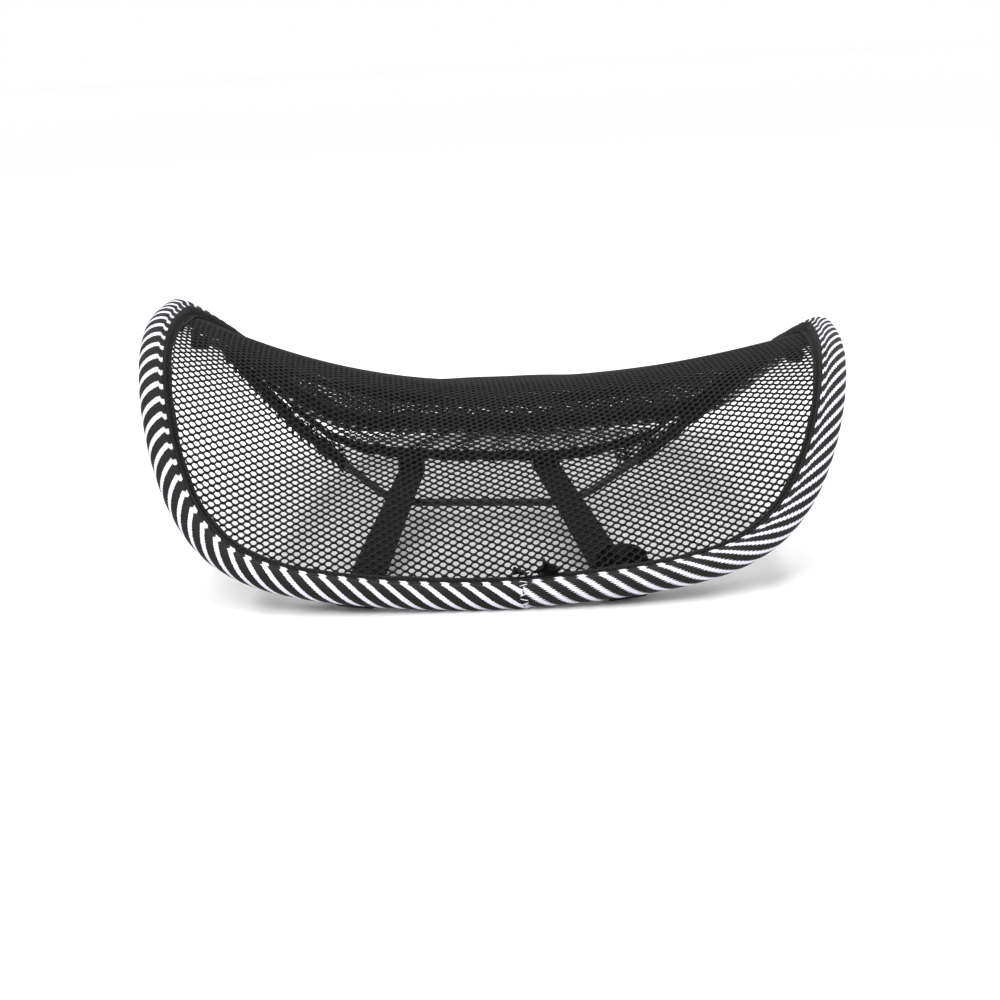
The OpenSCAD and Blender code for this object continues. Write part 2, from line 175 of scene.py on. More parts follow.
def tube(name, path, radius, material, body, sides=12, closed=False, wobble=None):
    """A tube along a path, with rounded ends where it isn't closed."""
    path = np.asarray(path, dtype=float)
    n = len(path)
    radius = np.broadcast_to(np.asarray(radius, dtype=float), (n,)).copy()
    if closed:
        along = unit(np.roll(path, -1, axis=0) - np.roll(path, 1, axis=0))
    else:
        along = unit(np.gradient(path, axis=0))
    normal = np.zeros_like(path)
    start = np.array([0.0, 1.0, 0.0])
    if abs(along[0] @ start) > 0.9:
        start = np.array([0.0, 0.0, 1.0])
    normal[0] = unit(start - (start @ along[0]) * along[0])
    for i in range(1, n):
        v = normal[i - 1] - (normal[i - 1] @ along[i]) * along[i]
        normal[i] = v / np.linalg.norm(v)
    other = np.cross(along, normal)
    angle = np.linspace(0, 2 * np.pi, sides, endpoint=False)
    ring = np.cos(angle)[None, :, None] * normal[:, None, :] + np.sin(angle)[None, :, None] * other[:, None, :]
    scale = radius[:, None] * (np.ones((n, sides)) if wobble is None else wobble(n, sides))
    verts = (path[:, None, :] + scale[..., None] * ring).reshape(-1, 3)
    faces = list(grid_faces(n, sides, wrap_rows=closed, wrap_cols=True))
    if not closed:
        tips = [path[0] - along[0] * radius[0] * 0.6, path[-1] + along[-1] * radius[-1] * 0.6]
        verts = np.vstack([verts, tips])
        faces += [(len(verts) - 2, (j + 1) % sides, j) for j in range(sides)]
        last = (n - 1) * sides
        faces += [(len(verts) - 1, last + j, last + (j + 1) % sides) for j in range(sides)]
    return add_object(name, verts, faces, material, body)


def ribbon(name, centre, across, up, half, thick, material, body, cols=7, bulge=0.0):
    """A flat band with rounded edges: a closed skin over cross sections along a line."""
    t = np.linspace(-1, 1, cols)
    rise = 1 - np.abs(t) ** 6 * 0.75
    top = np.stack([t, rise], axis=1)
    bottom = np.stack([t[::-1], -rise[::-1]], axis=1)
    section = np.vstack([top, bottom])
    half = np.broadcast_to(np.asarray(half, dtype=float), (len(centre),))
    verts = (
        centre[:, None, :]
        + (section[None, :, 0] * half[:, None])[..., None] * across[:, None, :]
        + (section[None, :, 1] * thick / 2 + bulge * (1 - section[None, :, 0] ** 2))[..., None] * up[:, None, :]
    )
    n, m = len(centre), len(section)
    faces = [tuple(f[::-1]) for f in grid_faces(n, m, wrap_cols=True)]
    faces += [tuple(range(m))[::1], tuple((n - 1) * m + j for j in range(m - 1, -1, -1))]
    return add_object(name, verts.reshape(-1, 3), faces, material, body)


# ---- Materials ----


class Nodes:
    """A small wrapper that adds nodes to a material and joins them."""

    def __init__(self, name):
        self.material = bpy.data.materials.new(name)
        self.material.use_nodes = True
        self.tree = self.material.node_tree
        self.shader = self.tree.nodes["Principled BSDF"]

    def add(self, kind, **values):
        node = self.tree.nodes.new(kind)
        for key, value in values.items():
            if hasattr(node, key):
                setattr(node, key, value)
            else:
                node.inputs[key.replace("_", " ")].default_value = value
        return node

    def link(self, source, target):
        self.tree.links.new(source, target)

    def set(self, **values):
        for key, value in values.items():
            self.shader.inputs[key.replace("_", " ")].default_value = value

    def math(self, operation, a, b=None, c=None):
        node = self.tree.nodes.new("ShaderNodeMath")
        node.operation = operation
        for i, v in enumerate((a, b, c)):
            if v is None:
                continue
            if isinstance(v, (int, float)):
                node.inputs[i].default_value = v
            else:
                self.link(v, node.inputs[i])
        return node.outputs[0]

    def mix(self, factor, a, b):
        node = self.tree.nodes.new("ShaderNodeMix")
        node.data_type = "RGBA"
        if isinstance(factor, (int, float)):
            node.inputs[0].default_value = factor
        else:
            self.link(factor, node.inputs[0])
        for i, v in ((6, a), (7, b)):
            if isinstance(v, tuple):
                node.inputs[i].default_value = (*v, 1)
            else:
                self.link(v, node.inputs[i])
        return node.outputs[2]

    def noise(self, scale, detail=3.0, coords=None):
        node = self.add("ShaderNodeTexNoise")
        node.inputs["Scale"].default_value = scale
        node.inputs["Detail"].default_value = detail
        self.link(coords if coords is not None else self.position(), node.inputs["Vector"])
        return node.outputs["Fac"]

    def position(self):
        return self.add("ShaderNodeTexCoord").outputs["Object"]

    def uv(self, name):
        node = self.add("ShaderNodeUVMap")
        node.uv_map = name
        split = self.add("ShaderNodeSeparateXYZ")
        self.link(node.outputs["UV"], split.inputs[0])
        return split.outputs[0], split.outputs[1]

    def bump(self, height, strength, distance):
        node = self.add("ShaderNodeBump")
        node.inputs["Strength"].default_value = strength
        node.inputs["Distance"].default_value = distance
        self.link(height, node.inputs["Height"])
        self.link(node.outputs["Normal"], self.shader.inputs["Normal"])

    def color(self, source):
        self.link(source, self.shader.inputs["Base Color"])


def cloth_material(name, dark, light, fine, rough=0.85, sheen=0.25, bump=0.4, depth=0.0003):
    """Woven or knitted cloth: crossed fine threads with slow colour variation."""
    m = Nodes(name)
    split = m.add("ShaderNodeSeparateXYZ")
    m.link(m.position(), split.inputs[0])
    x, y, z = split.outputs
    warp = m.math("SINE", m.math("MULTIPLY", m.math("ADD", x, z), fine))
    weft = m.math("SINE", m.math("MULTIPLY", m.math("ADD", y, z), fine))
    weave = m.math("MULTIPLY_ADD", m.math("MULTIPLY", warp, weft), 0.5, 0.5)
    slow = m.noise(60, 4)
    fuzz = m.noise(1800, 2)
    tone = m.math("ADD", m.math("MULTIPLY", weave, 0.4), m.math("MULTIPLY", slow, 0.6))
    m.color(m.mix(tone, dark, light))
    m.bump(m.math("ADD", weave, m.math("MULTIPLY", fuzz, 0.6)), bump, depth)
    m.set(Roughness=rough, Sheen_Weight=sheen, Sheen_Roughness=0.5)
    m.shader.inputs["Specular IOR Level"].default_value = 0.15
    return m.material


def stripe_material():
    """Slanting woven stripes, black and off-white, over fine ribs that run along the rim."""
    m = Nodes("striped_sleeve_cloth")
    phase, turn = m.uv("stripe")
    length, side = m.uv("along")
    step = m.math("FRACT", m.math("MULTIPLY", turn, 46))
    jag = m.math("MULTIPLY", m.math("ABSOLUTE", m.math("SUBTRACT", step, 0.5)), side)
    rough_edge = m.math("MULTIPLY", m.math("SUBTRACT", m.noise(900, 2), 0.5), 0.10)
    place = m.math("FRACT", m.math("ADD", m.math("ADD", phase, jag), rough_edge))
    wave = m.math("ABSOLUTE", m.math("SUBTRACT", place, 0.5))
    white_ramp = m.add("ShaderNodeMapRange")
    white_ramp.interpolation_type = "SMOOTHSTEP"
    white_ramp.inputs["From Min"].default_value = 0.315
    white_ramp.inputs["From Max"].default_value = 0.335
    m.link(wave, white_ramp.inputs["Value"])
    white = white_ramp.outputs[0]
    thread = m.math("SINE", m.math("MULTIPLY", length, 6283 / 0.75))
    rib = m.math("SINE", m.math("MULTIPLY", turn, 6.2832 * 46))
    weave = m.math("MULTIPLY_ADD", m.math("MULTIPLY", thread, rib), 0.5, 0.5)
    slow = m.noise(45, 3)
    black = m.mix(m.math("MULTIPLY", weave, slow), (0.0035, 0.0033, 0.003), (0.017, 0.0155, 0.0135))
    pale = m.mix(weave, (0.50, 0.48, 0.57), (0.80, 0.78, 0.86))
    m.color(m.mix(white, black, pale))
    height = m.math("ADD", m.math("MULTIPLY", weave, 0.35), m.math("MULTIPLY", white, 0.5))
    m.bump(height, 0.6, 0.0004)
    m.set(Roughness=0.8, Sheen_Weight=0.03, Sheen_Roughness=0.4)
    m.shader.inputs["Specular IOR Level"].default_value = 0.25
    return m.material


# Waves per metre of the webbing's ribs, which are 1.7 mm apart
RIB_WAVE = 6283 / 1.7


def webbing_material():
    """Elastic webbing: close ribs across the band, with a fine chevron between them."""
    m = Nodes("ribbed_webbing")
    along, across = m.uv("along")
    rib = m.math("MULTIPLY_ADD", m.math("SINE", m.math("MULTIPLY", along, RIB_WAVE)), 0.5, 0.5)
    thread = m.math("MULTIPLY_ADD", m.math("SINE", m.math("MULTIPLY", across, 6283 / 0.9)), 0.5, 0.5)
    fine = m.math("MULTIPLY", thread, m.noise(90))
    tone = m.math("ADD", m.math("MULTIPLY", rib, 0.55), m.math("MULTIPLY", fine, 0.45))
    m.color(m.mix(tone, (0.0025, 0.0025, 0.003), (0.0095, 0.0095, 0.011)))
    m.bump(m.math("ADD", rib, m.math("MULTIPLY", thread, 0.3)), 0.5, 0.0004)
    m.set(Roughness=0.68, Sheen_Weight=0.03, Sheen_Roughness=0.5)
    m.shader.inputs["Specular IOR Level"].default_value = 0.2
    return m.material


def metal_material(name, color, rough, scratch):
    m = Nodes(name)
    grain = m.noise(scratch, 5)
    m.color(m.mix(grain, tuple(c * 0.75 for c in color), color))
    m.link(m.math("MULTIPLY_ADD", grain, 0.2, rough - 0.1), m.shader.inputs["Roughness"])
    m.bump(grain, 0.1, 0.0001)
    m.set(Metallic=1.0)
    return m.material


def coated_material():
    """Black dip-coated wire, smooth with slight orange peel."""
    m = Nodes("dip_coated_wire")
    grain = m.noise(420, 3)
    m.color(m.mix(grain, (0.004, 0.004, 0.0045), (0.011, 0.011, 0.012)))
    m.bump(grain, 0.25, 0.0002)
    m.set(Roughness=0.38)
    return m.material


def foam_material():
    m = Nodes("cell_foam")
    cells = m.add("ShaderNodeTexVoronoi")
    cells.inputs["Scale"].default_value = 1400
    m.link(m.position(), cells.inputs["Vector"])
    m.color(m.mix(cells.outputs["Distance"], (0.01, 0.01, 0.01), (0.05, 0.05, 0.052)))
    m.bump(cells.outputs["Distance"], 0.5, 0.0003)
    m.set(Roughness=0.95)
    return m.material


MESH_CLOTH = cloth_material("knit_mesh_yarn", (0.003, 0.003, 0.0035), (0.013, 0.013, 0.015), 9000, 0.65, 0.03, 0.5)
TAPE_CLOTH = cloth_material("twill_tape", (0.003, 0.0027, 0.0024), (0.013, 0.0112, 0.0095), 5200, 0.85, 0.03, 0.5)
TAB_CLOTH = cloth_material("matt_tab_cloth", (0.0015, 0.0015, 0.0015), (0.004, 0.004, 0.0045), 7000, 0.9, 0.0)
BLACK_THREAD = cloth_material("black_thread", (0.004, 0.004, 0.0045), (0.016, 0.016, 0.017), 15000, 0.7, 0.04)
WHITE_THREAD = cloth_material("white_thread", (0.55, 0.54, 0.58), (0.9, 0.9, 0.92), 15000, 0.7, 0.3)
STRIPES = stripe_material()
WEBBING = webbing_material()
COATED = coated_material()
FOAM = foam_material()
SPRING_STEEL = metal_material("spring_steel", (0.62, 0.63, 0.65), 0.3, 300)
FERRULE_STEEL = metal_material("plated_ferrule", (0.55, 0.55, 0.56), 0.4, 500)
CAP_RUBBER = cloth_material("moulded_cap", (0.008, 0.008, 0.008), (0.02, 0.02, 0.02), 900, 0.7, 0.0, 0.1)

# ---- Rim ----


def smooth_step(x, low, high):
    t = np.clip((x - low) / (high - low), 0, 1)
    return t * t * (3 - 2 * t)


def make_sleeve():
    """The striped sleeve: a round tube with a stitched crease and a lip beside the tape."""
    rings, sides = 1100, 46
    total = TABLE_LENGTH[-1]
    travel = np.linspace(0, total - 0.0004, rings)
    start = rim_length(SEAM_Q)
    p, _, inward, up = rim_frame(rim_at_length(np.mod(travel + start, total)))
    turn = np.linspace(0.012, 0.988, sides)
    angle = 2 * np.pi * turn
    folded = np.degrees(np.minimum(angle, 2 * np.pi - angle))
    crease = np.exp(-(((folded - 66) / 8) ** 2))
    lip = smooth_step(folded, 60, 44) * smooth_step(folded, 5, 30)
    ends = np.exp(-travel / 0.004) * -0.0004 + np.exp(-(travel[-1] - travel) / 0.005) * 0.0003
    pucker = 0.00018 * np.sin(2 * np.pi * travel / 0.012)[:, None] * crease[None, :]
    slow = 0.00012 * np.sin(2 * np.pi * travel / 0.047 + 2 * np.sin(travel / 0.05))
    radius = SLEEVE_R * (1 - 0.10 * crease + 0.03 * lip)[None, :] + pucker + (ends - np.abs(slow))[:, None]
    ring = np.cos(angle)[None, :, None] * inward[:, None, :] + np.sin(angle)[None, :, None] * up[:, None, :]
    verts = p[:, None, :] + radius[..., None] * ring
    # The soft underside is pressed flat where it rests
    verts[..., 2] = np.maximum(verts[..., 2], 0.0)
    faces = grid_faces(rings, sides)
    piece = add_object("rim_sleeve_cloth", verts.reshape(-1, 3), faces, STRIPES)
    # The cloth is pulled longer round the rim's near corners, and twisted more to the right
    left = total - travel
    pulled = 0.17 * np.exp(-(((travel - 0.125) / 0.045) ** 2)) + 0.20 * np.exp(-(((left - 0.197) / 0.045) ** 2))
    pitch = 0.0104 * (1 + pulled + 0.08 * np.exp(-((travel / 0.06) ** 2)))
    run = np.concatenate([[0], np.cumsum(np.diff(travel) * 2 / (pitch[1:] + pitch[:-1]))])
    to_right = 4.6 + 4.2 * smooth_step(travel, 0.03, 0.15)
    to_left = 5.4 - 2.4 * smooth_step(left, 0.18, 0.27)
    far = smooth_step(travel / total, 0.32, 0.62)
    advance = to_right * (1 - far) + to_left * far
    shift = 0.28 * (1 - smooth_step(folded, 60, 73)) * np.sign(180 - np.degrees(angle))
    stripe = run[:, None] - advance[:, None] * (turn - 0.5)[None, :] - shift[None, :]
    jagged = 0.30 - 0.22 * smooth_step(travel / total, 0.35, 0.55)
    turns = np.broadcast_to(turn[None, :], stripe.shape)
    lengths = np.broadcast_to(travel[:, None], stripe.shape)
    jags = np.broadcast_to(jagged[:, None], stripe.shape)
    add_uv(piece, "stripe", np.stack([stripe, turns], axis=-1).reshape(-1, 2))
    add_uv(piece, "along", np.stack([lengths, jags], axis=-1).reshape(-1, 2))
    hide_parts("rim_sleeve")
    return piece


def panel_inset_points(q, inset):
    """Points of the panel's surface at a distance inside the rim's line, with the panel's normals."""
    p = rim(q)
    slope = np.stack([p[..., 0], p[..., 1], CROWN_POWER * (p[..., 2] - BASE_Z - CROWN_H)], axis=-1)
    share = 1 - inset / np.linalg.norm(slope, axis=-1)
    f = share**CROWN_POWER
    z = BASE_Z + CROWN_H * (1 - f) + (p[..., 2] - BASE_Z) * f
    return np.stack([share * p[..., 0], share * p[..., 1], z], axis=-1)


def make_tape(name, node, face):
    """A layer of binding tape from the sleeve's side down onto the panel, slightly puckered."""
    rings = 700
    lengths = np.linspace(0, TABLE_LENGTH[-1], rings, endpoint=False)
    q = rim_at_length(lengths)
    p, along, inward, up = rim_frame(q)
    pucker = np.sin(lengths / 0.0043 + 1.7 * np.sin(lengths / 0.021))
    edge = 0.0110 + 0.00025 * np.sin(lengths / 0.017) + 0.0002 * np.sin(lengths / 0.0061 + 1)
    rows = []
    # Over the sleeve's side, from its top edge down to the panel
    for turn_deg in (50, 44, 36, 28, 20, 12, 4):
        turn = math.radians(turn_deg)
        lift = 0.00035 + 0.00012 * pucker * (turn_deg / 50)
        rows.append(p + (SLEEVE_R + lift)[:, None] * (math.cos(turn) * inward + face * math.sin(turn) * up))
    # Along the panel to the free edge
    for t in (0.25, 0.5, 0.75, 1.0):
        inset = SLEEVE_R + 0.0004 + t * (edge - SLEEVE_R - 0.0004)
        lift = 0.0009 + 0.0003 * pucker * t**1.5
        rows.append(panel_inset_points(q, inset) + (face * lift)[:, None] * up)
    line = np.stack(rows, axis=1)
    cols = line.shape[1]
    across = unit(np.gradient(line, axis=1))
    normal = face * unit(np.cross(across, along[:, None, :]))
    normal *= np.sign(np.sum(normal * (face * up + 0.6 * inward)[:, None, :], axis=-1, keepdims=True))
    thick = (0.0006 * np.array([0.6] + [1.0] * (cols - 2) + [0.6]))[None, :, None]
    verts = np.concatenate([line + thick * normal / 2, (line - thick * normal / 2)[:, ::-1]], axis=1)
    piece = add_object(
        name, verts.reshape(-1, 3), grid_faces(rings, 2 * cols, wrap_rows=True, wrap_cols=True),
        TAPE_CLOTH,
    )
    fix_normals(piece)
    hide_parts(node)
    return piece


def stitches(name, starts, ends, normals, radius, material, body, sides=6):
    """Short stitches, each a low arch of thread from a start to an end."""
    t = np.array([0.0, 0.15, 0.5, 0.85, 1.0])
    rise = np.array([-0.8, 0.5, 1.0, 0.5, -0.8]) * radius
    girth = np.array([0.6, 1.0, 1.0, 1.0, 0.6]) * radius
    f = 2 * np.pi * np.arange(sides) / sides
    verts, faces = [], []
    for a, b, n in zip(starts, ends, normals):
        side = np.cross(unit(b - a), n)
        first = 5 * sides * (len(verts) // (5 * sides))
        for k in range(5):
            centre = a + (b - a) * t[k] + n * rise[k]
            verts += list(centre + girth[k] * (np.cos(f)[:, None] * side + np.sin(f)[:, None] * n))
        faces += [tuple(first + i for i in face[::-1]) for face in grid_faces(5, sides, wrap_cols=True)]
        faces.append(tuple(first + j for j in range(sides)))
        faces.append(tuple(first + 4 * sides + j for j in range(sides - 1, -1, -1)))
    return add_object(name, np.array(verts), faces, material, body)


def make_tape_stitches(name, face):
    """A row of lock stitches near the tape's outer edge."""
    step, stitch = 0.0036, 0.0027
    total = TABLE_LENGTH[-1]
    count = int(total / step)
    rows = []
    for shift in (0, stitch):
        q = rim_at_length(np.mod(np.arange(count) * total / count + shift, total))
        up = rim_frame(q)[3]
        rows.append(panel_inset_points(q, SLEEVE_R + 0.0024) + face * 0.0013 * up)
    return stitches(name, rows[0], rows[1], face * up, 0.0003, BLACK_THREAD, RIM)


def repaint(node, material):
    """Gives a CAD node's object its finished material."""
    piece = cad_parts[node]
    piece.data.materials.clear()
    piece.data.materials.append(material)


def make_seam():
    """The sleeve's joint: overcast white stitches and a frayed end."""
    q = np.array([SEAM_Q])
    p, along, inward, up = (v[0] for v in rim_frame(q))
    starts, ends, normals = [], [], []
    for k in range(8):
        f = math.radians(72 + 20 * k)
        out = math.cos(f) * inward + math.sin(f) * up
        side = np.cross(along, out)
        centre = p + (SLEEVE_R + 0.0001) * out
        lean = 0.0006 * (1 if k % 2 else -1)
        starts.append(centre - 0.0019 * along + lean * side)
        ends.append(centre + 0.0021 * along - lean * side)
        normals.append(out)
    piece = stitches("sleeve_seam_thread", starts, ends, normals, 0.00022, WHITE_THREAD, RIM)
    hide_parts("sleeve_seam_stitches")
    for k in range(9):
        f = math.radians(225 + 5 * (k % 4))
        out = math.cos(f) * inward + math.sin(f) * up
        base = p + (SLEEVE_R - 0.0003) * out + along * 0.0006 * (k - 3)
        sway = rng.normal(0, 0.0006, (4, 3))
        reach = np.array([0.0, 0.0009, 0.0019, 0.0028])
        path = base + reach[:, None] * (out * 0.3 + along * (0.9 if k > 3 else -0.5) - inward * 0.5) + sway
        path[0] = base
        path[:, 2] = np.maximum(path[:, 2], 0.0004)
        tube(f"frayed_end_{k + 1}", path, 0.00016, WHITE_THREAD, RIM, sides=5)


# ---- Hexagonal mesh ----


def hex_mesh(name, place, keep, size, turn_deg, hole_half, thick, material, body, extent, node=None):
    """Open hexagonal knit: ridged yarns round staggered holes.

    place maps flat points to points of a surface and its normals, keep says which cells there are,
    size is the period along and across the rows, and hole_half the half width and height of a hole.
    It returns the piece and the cloth's flat area.
    """
    w, h = size
    nx, ny = int(extent / w) + 2, int(2 * extent / h) + 2
    j, i = np.meshgrid(np.arange(-ny, ny + 1), np.arange(-nx, nx + 1), indexing="ij")
    centre = np.stack([(i + 0.5 * (j % 2)) * w, j * h / 2], axis=-1).reshape(-1, 2)
    turn = math.radians(turn_deg)
    spin = np.array([[math.cos(turn), math.sin(turn)], [-math.sin(turn), math.cos(turn)]])
    kept = keep(*(centre @ spin).T)
    centre = centre[kept]
    joint = 0.12 * w
    corner = np.array([
        [w / 2 - joint / 2, 0], [joint / 2, h / 2], [-joint / 2, h / 2],
        [joint / 2 - w / 2, 0], [-joint / 2, -h / 2], [joint / 2, -h / 2],
    ])
    # The hole: a rounder hexagon inside the cell
    spoke = np.radians([0, 60, 120, 180, 240, 300])
    hole = np.stack([np.cos(spoke), np.sin(spoke)], axis=1) * np.array(hole_half)
    flat_corner = (centre[:, None, :] + corner[None]).reshape(-1, 2)
    grid = np.round(flat_corner / 1e-6).astype(np.int64)
    unique, inverse = np.unique(grid, axis=0, return_inverse=True)
    inverse = inverse.reshape(-1, 6)
    flat_unique = unique * 1e-6
    flat_hole = (centre[:, None, :] + hole[None]).reshape(-1, 2)
    p_corner, n_corner = place(*(flat_unique @ spin).T)
    p_hole, n_hole = place(*(flat_hole @ spin).T)
    low = n_corner * thick * 0.4
    verts = np.concatenate([p_corner + n_corner * thick * 0.6, p_corner - low, p_hole - n_hole * thick * 0.4])
    count = len(unique)
    hole_index = 2 * count + np.arange(len(centre) * 6).reshape(-1, 6)
    after = np.roll(inverse, -1, axis=1)
    hole_after = np.roll(hole_index, -1, axis=1)
    upper = np.stack([inverse, after, hole_after, hole_index], axis=-1).reshape(-1, 4)
    lower = np.stack([inverse + count, hole_index, hole_after, after + count], axis=-1).reshape(-1, 4)
    edge = np.stack([inverse, after], axis=-1).reshape(-1, 2)
    key = edge.min(axis=1) * count + edge.max(axis=1)
    _, first, uses = np.unique(key, return_index=True, return_counts=True)
    rim_edge = edge[first[uses == 1]]
    wall = np.stack([rim_edge[:, 0], rim_edge[:, 0] + count, rim_edge[:, 1] + count, rim_edge[:, 1]], axis=-1)
    faces = np.concatenate([upper, lower, wall])
    piece = add_object(name, verts, faces, material, body)
    if node:
        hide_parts(node)
    return piece, len(centre) * w * h / 2


class Unrolled:
    """Flat cloth coordinates on the panel: lengths along the surface from its two middle lines."""

    def __init__(self, half=0.20, count=161):
        self.half, self.count = half, count
        self.axis = np.linspace(-half, half, count)
        x, y = np.meshgrid(self.axis, self.axis, indexing="ij")
        step = self.axis[1] - self.axis[0]
        z = panel_z(x, y + 1e-9)
        self.zx, self.zy = np.gradient(z, step)
        middle = count // 2
        self.u = self.lengths(np.sqrt(1 + self.zx**2), 0, step, middle)
        self.v = self.lengths(np.sqrt(1 + self.zy**2), 1, step, middle)

    @staticmethod
    def lengths(rate, axis, step, middle):
        mean = (rate + np.roll(rate, 1, axis=axis)) / 2 * step
        run = np.cumsum(mean, axis=axis)
        return run - np.take(run, [middle], axis=axis)

    def sample(self, grid, x, y):
        f = (np.clip(x, -self.half, self.half) + self.half) / (2 * self.half) * (self.count - 1)
        g = (np.clip(y, -self.half, self.half) + self.half) / (2 * self.half) * (self.count - 1)
        i = np.clip(f.astype(int), 0, self.count - 2)
        j = np.clip(g.astype(int), 0, self.count - 2)
        a, b = f - i, g - j
        return (
            grid[i, j] * (1 - a) * (1 - b) + grid[i + 1, j] * a * (1 - b)
            + grid[i, j + 1] * (1 - a) * b + grid[i + 1, j + 1] * a * b
        )

    def solve(self, u, v):
        x, y = u * 0.9, v * 0.9
        for _ in range(14):
            x = x + 0.8 * (u - self.sample(self.u, x, y))
            y = y + 0.8 * (v - self.sample(self.v, x, y))
        return x, y

    def place(self, u, v):
        x, y = self.solve(u, v)
        normal = np.stack([-self.sample(self.zx, x, y), -self.sample(self.zy, x, y), np.ones_like(x)], axis=-1)
        return np.stack([x, y, panel_z(x, y)], axis=-1), unit(normal)


MESH_SIZE, MESH_HOLE = (0.00645, 0.0049), (0.00176, 0.00163)
MESH_THICK = 0.0009


def make_main_mesh():
    flat = Unrolled()

    def keep(u, v):
        x, y = flat.solve(u, v)
        share, _ = share_of(x, y)
        q = np.interp(np.degrees(np.arctan2(x, -y)), TABLE_ANGLE, TABLE_Q)
        p = rim(q)
        reach = np.sqrt(p[..., 0] ** 2 + p[..., 1] ** 2 + (CROWN_POWER * (p[..., 2] - BASE_Z - CROWN_H)) ** 2)
        inside = (np.abs(x) < 0.1985) & (np.abs(y) < 0.1985)
        return inside & (share < 1 - 0.0090 / reach)

    return hex_mesh(
        "main_mesh_knit", flat.place, keep, MESH_SIZE, 7.0, MESH_HOLE, MESH_THICK,
        MESH_CLOTH, RIM, 0.26, "main_mesh",
    )


# ---- Support wire ----

FOOT_LEFT, FOOT_RIGHT = (-0.064, -0.028, 0.0055), (0.042, -0.029, 0.002)
PIVOT_DIR = unit(PIVOT_RIGHT - PIVOT_LEFT)


def rounded(points, cuts, steps=5):
    """A path of straight runs with its corners rounded."""
    out = [points[0]]
    for i in range(1, len(points) - 1):
        p, c = points[i], cuts[i - 1]
        a, b = p + c * unit(points[i - 1] - p), p + c * unit(points[i + 1] - p)
        for k in range(steps + 1):
            f = k / steps
            out.append((1 - f) ** 2 * a + 2 * f * (1 - f) * p + f * f * b)
    return np.array(out + [points[-1]])


def resampled(path, step):
    """Points at even steps along a path."""
    length = np.concatenate([[0], np.cumsum(np.linalg.norm(np.diff(path, axis=0), axis=1))])
    at = np.linspace(0, length[-1], max(2, int(length[-1] / step) + 1))
    return np.stack([np.interp(at, length, path[:, k]) for k in range(3)], axis=1)


def lifted(*point):
    return np.array(point, dtype=float) + np.array([0, 0, BASE_Z])


def support_line():
    points = [
        PIVOT_LEFT - 0.004 * PIVOT_DIR,
        PIVOT_LEFT + 0.011 * PIVOT_DIR,
        lifted(-0.120, -0.013, 0.050),
        lifted(*FOOT_LEFT),
        lifted(*FOOT_RIGHT),
        lifted(0.088, -0.018, 0.029),
        lifted(0.128, -0.009, 0.058),
        PIVOT_RIGHT - 0.012 * PIVOT_DIR,
        PIVOT_RIGHT + 0.004 * PIVOT_DIR,
    ]
    return resampled(rounded(points, [0.006, 0.016, 0.015, 0.015, 0.014, 0.014, 0.006]), 0.0022)


SUPPORT_LINE = support_line()


def support_stretch(x0, x1):
    return SUPPORT_LINE[(SUPPORT_LINE[:, 0] > x0) & (SUPPORT_LINE[:, 0] < x1)]


def make_support_wire():
    piece = tube("support_wire_coated", SUPPORT_LINE, SUPPORT_R, COATED, SUPPORT, sides=18)
    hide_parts("support_wire")
    return piece


def make_arm(side, x0, x1, teeth_deg):
    """Mesh gathered round an arm of the wire: a wrinkled casing with slanting pleats along it."""
    path = support_stretch(x0, x1)
    length = np.concatenate([[0], np.cumsum(np.linalg.norm(np.diff(path, axis=0), axis=1))])

    def wrinkle(n, sides):
        at = length[:n, None]
        round_ = np.linspace(0, 2 * np.pi, sides, endpoint=False)[None, :]
        return 1 + 0.10 * np.sin(at / 0.0013 + 3 * np.sin(round_ + at / 0.006)) + 0.06 * np.sin(at / 0.0031)

    casing = tube(
        f"arm_casing_{side}_cloth", path, SUPPORT_R + 0.0010, TAPE_CLOTH, SUPPORT, sides=20,
        wobble=wrinkle,
    )
    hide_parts(f"arm_casing_{side}")
    along = unit(np.gradient(path, axis=0))
    low = unit(np.cross(unit(along * np.array([1, 0, 1])), np.array([0.0, 1.0, 0.0])))
    low = low * np.sign(-low[:, 2:3])
    # Pleats: short folded tucks that lean across the casing's outer edge
    count = int(length[-1] / 0.0058)
    for k in range(count):
        at = (k + 0.5 + rng.uniform(-0.2, 0.2)) * length[-1] / count
        p = np.array([np.interp(at, length, path[:, m]) for m in range(3)])
        t = np.array([np.interp(at, length, along[:, m]) for m in range(3)])
        d = np.array([np.interp(at, length, low[:, m]) for m in range(3)])
        lean = math.radians(teeth_deg + rng.uniform(-8, 8))
        way = math.cos(lean) * d + math.sin(lean) * t * (1 if side == "left" else -1)
        reach = rng.uniform(0.0062, 0.0080)
        f = np.linspace(0, 1, 7)
        line = p - 0.0012 * d + f[:, None] * (reach + 0.0012) * way
        line[:, 1] += -0.0026 + 0.0016 * f + 0.0006 * np.sin(5 * f + k)
        side_dir = np.broadcast_to(unit(np.cross(way, np.array([0.0, 1.0, 0.0]))), line.shape)
        up = np.broadcast_to(np.array([0.0, -1.0, 0.0]), line.shape)
        half = 0.0013 * (1 - 0.55 * f**2)
        name = f"arm_pleat_{side}_{k + 1}"
        ribbon(name, line, side_dir, up, half, 0.0007, TAPE_CLOTH, SUPPORT, cols=4)


# ---- Web ----

WEB_LOW_Z = np.array([
    [-140, 81], [-120, 58], [-100, 42], [-80, 32], [-54, 27], [-15, 24.5],
    [34, 23], [60, 27], [86, 35], [104, 47.5], [126, 63.5],
]) / 1000
WEB_LOW_Y = np.array([
    [-140, -10], [-120, -13], [-100, -17], [-63, -7],
    [34, -7], [60, -11], [86, -17], [104, -13.5], [126, -9.5],
]) / 1000
